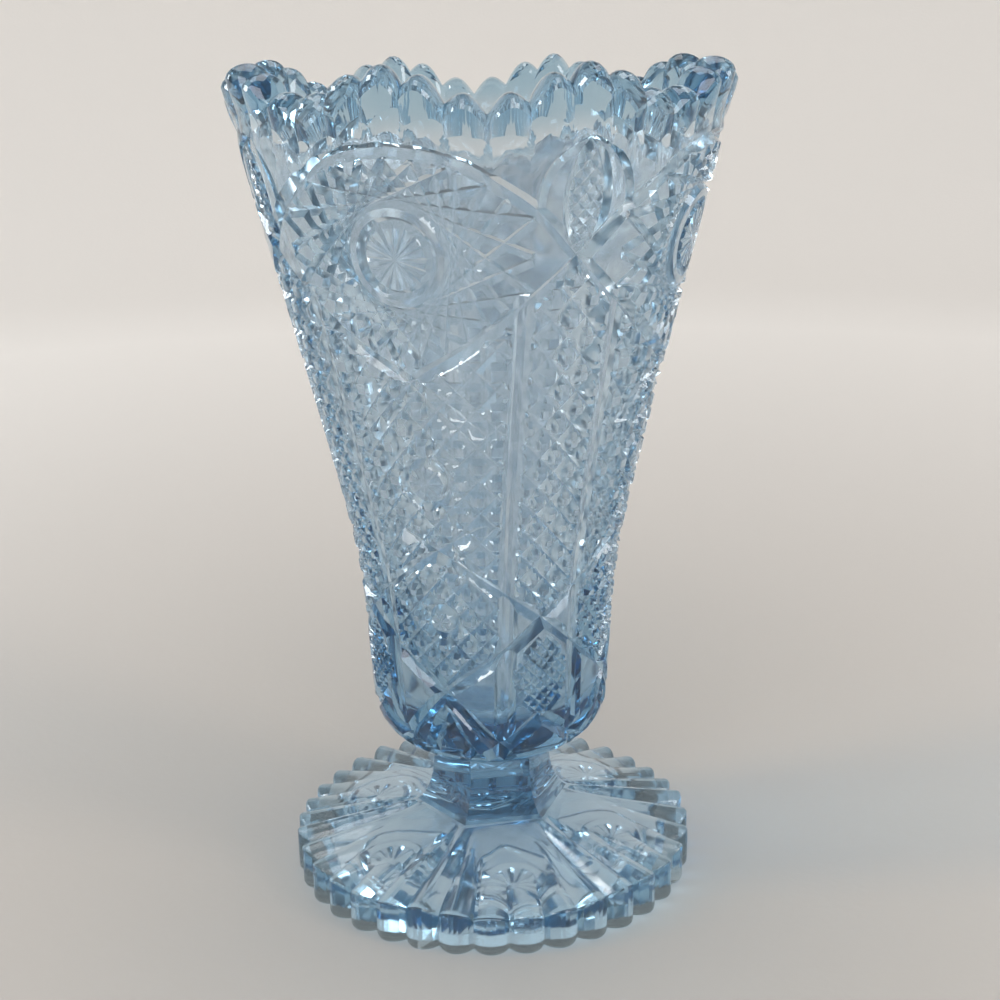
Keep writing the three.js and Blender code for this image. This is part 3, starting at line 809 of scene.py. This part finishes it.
# %% [markdown]
# ## The stem and foot
# The stem has six sides, which run out into six panels on the foot. It starts as a spun profile too, and
# each ring is then moved: to a hexagon near the stem, and to thirty-six scallops at the edge. Flutes run
# in from the gaps between the scallops, furthest at the six corners, where they spread like fans.

# %% Spin the stem and foot
FOOT_RADIUS = 40.5
FOOT_CROWN = 13.0
FOOT_CROWN_RADIUS = 16.5
FOOT_SLOPE = 0.17
STEM_RADIUS = 11.9
STEM_SIDES = 6
FOOT_MOUTH = 35.0
FOOT_RECESS = 1.6
FOOT_RECESS_CROWN = 3.0
EDGE_ROUND = 0.7
FOOT_COLUMNS = 288


def foot_profile():
    """From the axis inside the bowl's base, down the stem, over the foot and back under it."""
    inside_bowl = BOWL_BASE + 3
    profile = [(0.0, inside_bowl), (STEM_RADIUS, inside_bowl)]
    profile += [(STEM_RADIUS, BOWL_BASE), (STEM_RADIUS, STEM_COLLAR_BASE)]
    for turn in steps(0, math.pi / 2, 8)[1:]:
        profile.append((FOOT_CROWN_RADIUS - (FOOT_CROWN_RADIUS - STEM_RADIUS) * math.cos(turn),
                        STEM_COLLAR_BASE - (STEM_COLLAR_BASE - FOOT_CROWN) * math.sin(turn)))
    for radius in steps(FOOT_CROWN_RADIUS, FOOT_RADIUS - EDGE_ROUND, 10)[1:]:
        profile.append((radius, FOOT_CROWN))
    for turn in steps(0, math.pi / 2, 4)[1:]:
        profile.append((FOOT_RADIUS - EDGE_ROUND * (1 - math.sin(turn)),
                        FOOT_CROWN - EDGE_ROUND * (1 - math.cos(turn))))
    for turn in steps(0, math.pi / 2, 2):
        profile.append((FOOT_RADIUS - EDGE_ROUND * (1 - math.cos(turn)), EDGE_ROUND * (1 - math.sin(turn))))
    profile += [(FOOT_MOUTH, 0.0), (FOOT_MOUTH - FOOT_RECESS, FOOT_RECESS)]
    for share in steps(0, 1, 6)[1:-1]:
        radius = (FOOT_MOUTH - FOOT_RECESS) * (1 - share)
        profile.append((radius, FOOT_RECESS + (FOOT_RECESS_CROWN - FOOT_RECESS) * share))
    profile.append((0.0, FOOT_RECESS_CROWN))
    return profile


foot = spin_profile("foot", foot_profile(), FOOT_COLUMNS)
print("blank foot:", len(foot.data.vertices), "vertices")

# %% Shape the panels, flutes and scallops
SCALLOPS = 36
SCALLOP_DEPTH = 2.2
SCALLOP_WIDTH = 5.0
FAN_DEPTH = 1.8
FAN_START = 14.0
FAN_RETREAT = 15.0
FAN_RUN = 12.0
FOOT_TOP_ZONE = 4.0


def from_corner(angle):
    """Degrees to the nearest corner of the hexagon."""
    side = 360 / STEM_SIDES
    return abs((angle + side / 2) % side - side / 2)


def hexagon(angle):
    """Radius of a hexagon over that of its corners."""
    side = 360 / STEM_SIDES
    from_middle = angle % side - side / 2
    return math.cos(math.radians(side / 2)) / math.cos(math.radians(from_middle))


def scallop(angle):
    """0 on the crest of a scallop and 1 in the gap between two."""
    return 1 - abs(math.cos(math.radians(SCALLOPS * angle / 2))) ** 0.8


def foot_top(radius, angle):
    """Height of the foot's top before its flutes: six sloping panels."""
    return FOOT_CROWN - FOOT_SLOPE * (radius / hexagon(angle) - FOOT_CROWN_RADIUS)


def shape_foot(obj):
    """Moves the rings of the blank foot to the hexagon, the sloping panels, the flutes and the scallops."""
    for vertex in obj.data.vertices:
        x, y, height = vertex.co
        radius, angle = math.hypot(x, y), math.degrees(math.atan2(x, -y))
        if radius < 1e-3:
            continue
        if radius <= FOOT_CROWN_RADIUS + 1e-3 and height > FOOT_TOP_ZONE:
            vertex.co = turned(radius * hexagon(angle), angle, height)
            continue
        edge = ramp(radius, FOOT_RADIUS - SCALLOP_WIDTH, FOOT_RADIUS - EDGE_ROUND)
        if height > FOOT_TOP_ZONE:
            out = (radius - FOOT_CROWN_RADIUS) / (FOOT_RADIUS - FOOT_CROWN_RADIUS)
            moved = radius * (hexagon(angle) + (1 - hexagon(angle)) * ramp(out, 0, 0.8))
            top = foot_top(min(moved, FOOT_RADIUS - EDGE_ROUND), angle)
            start = FAN_START + FAN_RETREAT * ramp(from_corner(angle), 4, 22)
            fan = FAN_DEPTH * scallop(angle) * ramp(radius, start, start + FAN_RUN)
            vertex.co = turned(moved - SCALLOP_DEPTH * scallop(angle) * edge, angle,
                               top - fan + height - FOOT_CROWN)
        elif radius > FOOT_MOUTH + 1:
            vertex.co = turned(radius - SCALLOP_DEPTH * scallop(angle), angle, height)


shape_foot(foot)
print("shaped foot:", SCALLOPS, "scallops round", STEM_SIDES, "panels")

# %% [markdown]
# The underside of the foot has a star in a ring and a pair of pointed petals in each panel, and ribs that
# spread from each corner. They are seen through the glass from above, so they do much for the foot's look.

# %% Grooves under the foot
STAR_PLACE = 25.0
STAR_RADIUS = 6.3
STAR_RAYS = 12
STAR_HEART = 0.9
STAR_TIP = 5.0
PETAL_START = 12.5
PETAL_LENGTH = 20.0
PETAL_HALF = 21
RIB_START = 11.0
RIB_END = 33.2
UNDER_CUT = v_section(2.5, 1.6)
UNDER_RING = v_section(1.6, 1.0)
UNDER_RAY = v_section(1.3, 0.7)
PETAL_CUT = round_section(3.0, 1.4)


def recess_height(radius):
    """Height of the hollow under the foot."""
    share = min(radius / (FOOT_MOUTH - FOOT_RECESS), 1)
    return FOOT_RECESS_CROWN + (FOOT_RECESS - FOOT_RECESS_CROWN) * share


def under_station(x, y, share=1.0):
    return Vector((x, y, recess_height(math.hypot(x, y)))), Vector((0, 0, -1)), share


def under_line(start, end, shares, count=4):
    """Stations along a straight line under the foot, with a cut that grows from one share to the other."""
    stations = []
    for t in steps(0, 1, count):
        share = shares[0] + (shares[1] - shares[0]) * t
        x, y = start[0] + (end[0] - start[0]) * t, start[1] + (end[1] - start[1]) * t
        stations.append(under_station(x, y, share))
    return stations


def under_ring(centre):
    stations = []
    for i in range(28):
        turn = 2 * math.pi * i / 28
        x, y = centre.x + STAR_RADIUS * math.cos(turn), centre.y + STAR_RADIUS * math.sin(turn)
        stations.append(under_station(x, y))
    return groove(stations, UNDER_RING, closed=True)


def under_star(centre, middle):
    """The rays of a star round a centre, the first along the middle of its panel."""
    rays = []
    for ray in range(STAR_RAYS):
        turn = math.radians(middle) + 2 * math.pi * ray / STAR_RAYS
        way = Vector((math.cos(turn), math.sin(turn), 0))
        stations = under_line(centre + way * STAR_HEART, centre + way * STAR_TIP, (0.25, 1.0))
        rays.append(groove(stations, UNDER_RAY))
    return rays


def petal(middle, side):
    """One long side of a pointed petal, which bows away from the middle of its panel."""
    stations = []
    for t in steps(0, 1, 14):
        angle = middle + side * PETAL_HALF * math.sin(math.pi * t) ** 0.8
        place = turned(PETAL_START + PETAL_LENGTH * t, angle, 0)
        stations.append(under_station(place.x, place.y, max(math.sin(math.pi * t), 0.15) ** 0.5))
    return groove(stations, PETAL_CUT)


def fan_ribs(corner):
    """Ribs that spread from a corner of the stem."""
    ribs = []
    for i in range(-2, 3):
        inner = turned(RIB_START + abs(i) * 2.5, corner + i * 2.5, 0)
        outer = turned(RIB_END, corner + i * 5.0, 0)
        ribs.append(groove(under_line(inner, outer, (0.15, 1.0)), UNDER_CUT))
    return ribs


# %% Cut the underside
stars, rings, petals, petal_twins, ribs = [], [], [], [], []
for panel in range(STEM_SIDES):
    corner = 360 / STEM_SIDES * panel
    middle = 360 / STEM_SIDES * (panel + 0.5)
    centre = turned(STAR_PLACE, middle, 0)
    rings.append(under_ring(centre))
    stars += under_star(centre, middle)
    petals.append(petal(middle, -1))
    petal_twins.append(petal(middle, 1))
    ribs += fan_ribs(corner)
under_tools = [tool("under_rings", rings), tool("under_stars", stars), tool("petals", petals)]
under_tools += [tool("petal_twins", petal_twins), tool("under_ribs", ribs)]
combine(foot, under_tools, "DIFFERENCE")

# %% [markdown]
# ## One pressing
# The foot is joined to the bowl, the whole is brought from millimetres to metres, and faces that meet at
# more than a few degrees keep a crisp edge, so that every cut catches the light while the turned
# surfaces stay smooth. Before that, flat neighbours are merged, which saves many triangles, and the few
# flakes that merging leaves are dropped.

# %% Join the foot to the bowl
FLAT_ANGLE = 1.4


def drop_flakes(obj):
    """Deletes flakes of no thickness, whose two faces have the same vertices."""
    mesh = bmesh.new()
    mesh.from_mesh(obj.data)
    seen, flakes = {}, []
    for face in mesh.faces:
        corners = frozenset(vertex.index for vertex in face.verts)
        if corners in seen:
            flakes += [seen[corners], face]
        seen[corners] = face
    bmesh.ops.delete(mesh, geom=flakes, context="FACES")
    mesh.to_mesh(obj.data)
    mesh.free()
    print("flakes dropped:", len(flakes) // 2)


combine(bowl, [foot], "UNION")
vase = bowl
choose(vase)
bpy.ops.object.mode_set(mode="EDIT")
bpy.ops.mesh.select_all(action="SELECT")
bpy.ops.mesh.dissolve_limited(angle_limit=math.radians(FLAT_ANGLE))
bpy.ops.object.mode_set(mode="OBJECT")
drop_flakes(vase)

# %% Scale and shade
CRISP_ANGLE = 14.0

vase.name = "pressed_glass_vase"
vase.data.name = "pressed_glass_vase"
vase.data.transform(Matrix.Scale(MM, 4))
choose(vase)
bpy.ops.object.shade_smooth_by_angle(angle=math.radians(CRISP_ANGLE))
triangles = sum(len(face.vertices) - 2 for face in vase.data.polygons)
print("vase:", triangles, "triangles")

# %% [markdown]
# Two facts that the glass needs are noted on the vertices. One is how satin the surface is: the well's
# side, and the foot's top and edge. The other is how much colour the glass gathers from within, which is
# most in the rim's teeth and the foot's scallops.

# %% Note satin and depth on the vertices
SATIN_ENDS = (144, 152)
FOOT_TOP_SATIN = 0.8
DEEP_RIM = (147, 154)
DEEP_SCALLOPS = (34, 39)


def satin_at(radius, height, facing_up):
    """From 0, polished, to 1, satin."""
    if height > WELL_FLOOR + 0.1:
        in_well = radius < well_radius(height) + 0.3
        return 1 - ramp(height, *SATIN_ENDS) if in_well else 0.0
    if height < FOOT_CROWN + 1 and radius > FOOT_MOUTH + 1:
        return 1.0
    return FOOT_TOP_SATIN if height < FOOT_CROWN + 1 and facing_up > 0.5 else 0.0


def depth_at(radius, height):
    """From 0 to 1, where the glass gathers the most colour."""
    if height > WELL_FLOOR:
        return ramp(height, *DEEP_RIM)
    return ramp(radius, *DEEP_SCALLOPS) if height < FOOT_CROWN else 0.0


satin = vase.data.attributes.new("satin", "FLOAT", "POINT")
depth = vase.data.attributes.new("depth", "FLOAT", "POINT")
for vertex in vase.data.vertices:
    x, y, height = vertex.co / MM
    radius = math.hypot(x, y)
    satin.data[vertex.index].value = satin_at(radius, height, vertex.normal.z)
    depth.data[vertex.index].value = depth_at(radius, height)
print("satin and depth on", len(vase.data.vertices), "vertices")

# %% [markdown]
# ## Ice-blue glass
# The colour of pressed glass sits in its body: thin walls look almost clear, and light that has travelled
# far inside, in the base, the rim and the stem, comes out deep blue. So the surface has hardly a tint, and
# a volume takes away red and some green along the way. Mould-pressed glass is never quite flat, which a
# faint ripple gives, and its polish varies. The satin of the well blurs the far side of the vase, and that
# is what lets you read the pattern on the near side. Shadow rays meet a tinted pane instead of glass, so
# the cloth gets its light without caustics, which would take far longer to work out.

# %% Helpers for shader nodes
def new_material(name):
    material = bpy.data.materials.new(name)
    material.use_nodes = True
    return material, material.node_tree.nodes, material.node_tree.links


def set_inputs(node, values):
    for socket, value in values.items():
        node.inputs[socket].default_value = value


def add_node(nodes, kind, values=None):
    """A new shader node, with values for its inputs."""
    node = nodes.new("ShaderNode" + kind)
    set_inputs(node, values or {})
    return node


def add_math(nodes, operation, values=None):
    node = add_node(nodes, "Math", values)
    node.operation = operation
    return node


def add_blend(nodes, values):
    """A node that blends from colour A to colour B."""
    node = nodes.new("ShaderNodeMix")
    node.data_type = "RGBA"
    set_inputs(node, values)
    return node


def add_fact(nodes, name):
    """A node that reads one of the facts noted on the vertices."""
    node = nodes.new("ShaderNodeAttribute")
    node.attribute_name = name
    return node


def wire(links, wires):
    for source, output, target, socket in wires:
        links.new(source.outputs[output], target.inputs[socket])


# %% The glass's surface: ripple, polish, satin and tint
def finish_surface(nodes, links):
    surface = nodes["Principled BSDF"]
    set_inputs(surface, {"Metallic": 0.0, "IOR": 1.5, "Transmission Weight": 0.97})
    place = add_node(nodes, "TexCoord")
    ripple = add_node(nodes, "TexNoise", {"Scale": 160.0, "Detail": 1.0})
    bump = add_node(nodes, "Bump", {"Strength": 0.3, "Distance": 0.0004})
    polish = add_node(nodes, "TexNoise", {"Scale": 60.0, "Detail": 2.0})
    spread = add_node(nodes, "MapRange", {"From Min": 0.35, "From Max": 0.7, "To Min": 0.02, "To Max": 0.06})
    wear = add_math(nodes, "MULTIPLY", {1: 0.15})
    roughness = add_math(nodes, "ADD")
    satin, depth = add_fact(nodes, "satin"), add_fact(nodes, "depth")
    tint = add_blend(nodes, {"A": (0.92, 0.92, 0.93, 1.0), "B": (0.62, 0.77, 0.86, 1.0)})
    wire(links, [
        (place, "Object", ripple, "Vector"),
        (ripple, "Fac", bump, "Height"),
        (bump, "Normal", surface, "Normal"),
        (place, "Object", polish, "Vector"),
        (polish, "Fac", spread, "Value"),
        (spread, "Result", roughness, 0),
        (satin, "Fac", wear, 0),
        (wear, "Value", roughness, 1),
        (roughness, "Value", surface, "Roughness"),
        (depth, "Fac", tint, "Factor"),
        (tint, "Result", surface, "Base Color"),
    ])
    return surface


# %% The glass's body, and a tinted pane for shadow rays
def ice_blue_glass():
    material, nodes, links = new_material("ice_blue_glass")
    surface = finish_surface(nodes, links)
    body = add_node(nodes, "VolumeAbsorption", {"Color": (0.0, 0.43, 0.66, 1.0), "Density": 42.0})
    pane = add_node(nodes, "BsdfTransparent", {"Color": (0.86, 0.94, 0.98, 1.0)})
    rays, mix = add_node(nodes, "LightPath"), add_node(nodes, "MixShader")
    output = nodes["Material Output"]
    wire(links, [
        (rays, "Is Shadow Ray", mix, "Fac"),
        (surface, "BSDF", mix, 1),
        (pane, "BSDF", mix, 2),
        (mix, "Shader", output, "Surface"),
        (body, "Volume", output, "Volume"),
    ])
    return material


vase.data.materials.clear()
vase.data.materials.append(ice_blue_glass())
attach(vase, "root")
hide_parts("footed_vase")
print("glass on", vase.name)

# %% [markdown]
# ## Floor, light and camera
# The vase stands on a pale cloth in soft daylight. A wide floor that curves up into a round wall gives the
# glass something to refract from every side. It is pale behind the vase, and painted dark behind the camera
# as the shade of the rest of a room, so that facets which bend the view that way turn dark. Seen through the
# glass, the cloth glows a little, for the daylight that thick glass gathers onto it. A large lamp above
# and three windows make the streaks and sparkles.

# %% Spin the floor and backdrop
FLOOR_RADIUS = 0.75
WALL_RADIUS = 1.15
WALL_HEIGHT = 0.9
FLOOR_COLUMNS = 96


def backdrop():
    """A floor that curves up into a round wall, spun from its profile."""
    profile = [(0.0, 0.0), (FLOOR_RADIUS, 0.0)]
    bend = WALL_RADIUS - FLOOR_RADIUS
    for turn in steps(0, math.pi / 2, 12)[1:]:
        profile.append((FLOOR_RADIUS + bend * math.sin(turn), bend * (1 - math.cos(turn))))
    profile.append((WALL_RADIUS, WALL_HEIGHT))
    obj = spin_profile("backdrop", profile, FLOOR_COLUMNS, weld=1e-5, inward=True)
    bpy.ops.object.shade_smooth()
    return obj


floor = backdrop()
print("backdrop:", len(floor.data.vertices), "vertices")

# %% [markdown]
# The cloth has painted shade: it is darker near the vase and paler away from it, and in front of it fades to a
# painted dark grey, the shade of the room. It has a fine weave.

# %% The cloth's tone and painted shade
def cloth_tone_and_painted_shade(nodes, links, place, ahead):
    """Painted shade: darker near the vase and paler away from it, and the dark grey of a dim room where ahead
    is 0.
    """
    away = add_node(nodes, "VectorMath")
    away.operation = "LENGTH"
    spread = add_node(nodes, "MapRange", {"From Min": 0.05, "From Max": 0.6})
    # Painted shade: the cloth is dark near the vase and pale away from it.
    tone_with_painted_shade = add_blend(nodes, {"A": (0.38, 0.35, 0.32, 1.0), "B": (0.84, 0.805, 0.765, 1.0)})
    # Painted shade: the dark grey of a dim room, on the cloth towards the camera.
    room = add_blend(nodes, {"A": (0.16, 0.16, 0.17, 1.0)})
    wire(links, [
        (place, "Object", away, 0),
        (away, "Value", spread, "Value"),
        (spread, "Result", tone_with_painted_shade, "Factor"),
        (ahead, "Result", room, "Factor"),
        (tone_with_painted_shade, "Result", room, "B"),
    ])
    return room


# %% Make the cloth
def pale_cloth():
    """Rough cloth with a fine weave and painted shade, which glows a little when it is seen through glass."""
    material, nodes, links = new_material("pale_cloth")
    surface = nodes["Principled BSDF"]
    surface.inputs["Roughness"].default_value = 0.9
    place = add_node(nodes, "TexCoord")
    parts = add_node(nodes, "SeparateXYZ")
    # 0 towards the camera, where the cloth takes the painted shade of the room.
    ahead = add_node(nodes, "MapRange", {"From Min": -0.55, "From Max": -0.2})
    weave = add_node(nodes, "TexNoise", {"Scale": 500.0})
    bump = add_node(nodes, "Bump", {"Strength": 0.15, "Distance": 0.0005})
    glow = add_node(nodes, "Emission", {"Color": (0.66, 0.64, 0.61, 1.0)})
    rays = add_node(nodes, "LightPath")
    pale = add_math(nodes, "MULTIPLY")
    share = add_math(nodes, "MULTIPLY", {1: 0.6})
    mix = add_node(nodes, "MixShader")
    tone_with_painted_shade = cloth_tone_and_painted_shade(nodes, links, place, ahead)
    output = nodes["Material Output"]
    wire(links, [
        (place, "Object", parts, "Vector"),
        (parts, "Y", ahead, "Value"),
        (tone_with_painted_shade, "Result", surface, "Base Color"),
        (place, "Object", weave, "Vector"),
        (weave, "Fac", bump, "Height"),
        (bump, "Normal", surface, "Normal"),
        (rays, "Is Transmission Ray", pale, 0),
        (ahead, "Result", pale, 1),
        (pale, "Value", share, 0),
        (share, "Value", mix, "Fac"),
        (surface, "BSDF", mix, 1),
        (glow, "Emission", mix, 2),
        (mix, "Shader", output, "Surface"),
    ])
    return material


floor.data.materials.append(pale_cloth())
print("cloth on", floor.name)

# %% [markdown]
# Powers are in watts, and sizes and places in metres. Every lamp faces the middle of the vase.

# %% Lamps and world
WORLD_COLOUR = (0.80, 0.82, 0.84, 1.0)
WORLD_STRENGTH = 0.2


def soft_lamp(name, place, size, power, colour=(1.0, 1.0, 1.0), target=(0.0, 0.0, 0.08)):
    data = bpy.data.lights.new(name, "AREA")
    data.shape = "RECTANGLE"
    data.size, data.size_y = size
    data.energy = power
    data.color = colour
    lamp = bpy.data.objects.new(name, data)
    bpy.context.scene.collection.objects.link(lamp)
    lamp.location = place
    lamp.rotation_euler = (Vector(target) - Vector(place)).to_track_quat("-Z", "Y").to_euler()
    return lamp


soft_lamp("ceiling_light", (-0.1, 0.2, 1.2), (0.7, 0.7), 5.6)
soft_lamp("window_left", (-0.8, -0.45, 0.65), (0.2, 0.5), 5.6, (0.95, 0.98, 1.0))
soft_lamp("window_right", (0.85, -0.1, 0.55), (0.25, 0.6), 3.8)
soft_lamp("window_front", (0.17, -0.46, 0.72), (0.4, 0.3), 2.0)

world = bpy.data.worlds.new("room")
bpy.context.scene.world = world
world.use_nodes = True
background = world.node_tree.nodes["Background"]
background.inputs["Color"].default_value = WORLD_COLOUR
background.inputs["Strength"].default_value = WORLD_STRENGTH
print("lamps:", [lamp.name for lamp in bpy.data.lights])

# %% [markdown]
# The camera's place, pitch and lens come from the outlines of the rim, the sides and the foot in the
# photograph. Lengths are in millimetres, the turn is in degrees, and the pitch and roll are in radians.

# %% Camera and view
CAMERA_TURN = 20.5
CAMERA_ASIDE = 2.547
CAMERA_BACK = 292.24
CAMERA_HEIGHT = 164.889
CAMERA_PITCH = 0.294
CAMERA_ROLL = -0.016
FOCAL_PIXELS = 1555.0
IMAGE_PIXELS = 1000.0
SENSOR_WIDTH = 36.0
LIGHT_BOUNCES = 16


def place_camera():
    data = bpy.data.cameras.new("camera")
    data.sensor_width = SENSOR_WIDTH
    data.lens = SENSOR_WIDTH * FOCAL_PIXELS / IMAGE_PIXELS
    data.clip_start, data.clip_end = 0.01, 20.0
    camera = bpy.data.objects.new("camera", data)
    bpy.context.scene.collection.objects.link(camera)
    ahead = Vector((0, math.cos(CAMERA_PITCH), -math.sin(CAMERA_PITCH)))
    aside = Vector((1, 0, 0))
    up = aside.cross(ahead)
    right = aside * math.cos(CAMERA_ROLL) + up * math.sin(CAMERA_ROLL)
    top = up * math.cos(CAMERA_ROLL) - aside * math.sin(CAMERA_ROLL)
    axes = Matrix((right, top, -ahead)).transposed().to_4x4()
    place = Matrix.Translation(Vector((CAMERA_ASIDE, -CAMERA_BACK, CAMERA_HEIGHT)) * MM)
    camera.matrix_world = Matrix.Rotation(math.radians(CAMERA_TURN), 4, "Z") @ place @ axes
    bpy.context.scene.camera = camera


place_camera()
scene = bpy.context.scene
scene.view_settings.view_transform = "Standard"
scene.cycles.max_bounces = LIGHT_BOUNCES
scene.cycles.transmission_bounces = LIGHT_BOUNCES
print("camera lens in mm:", round(scene.camera.data.lens, 2))
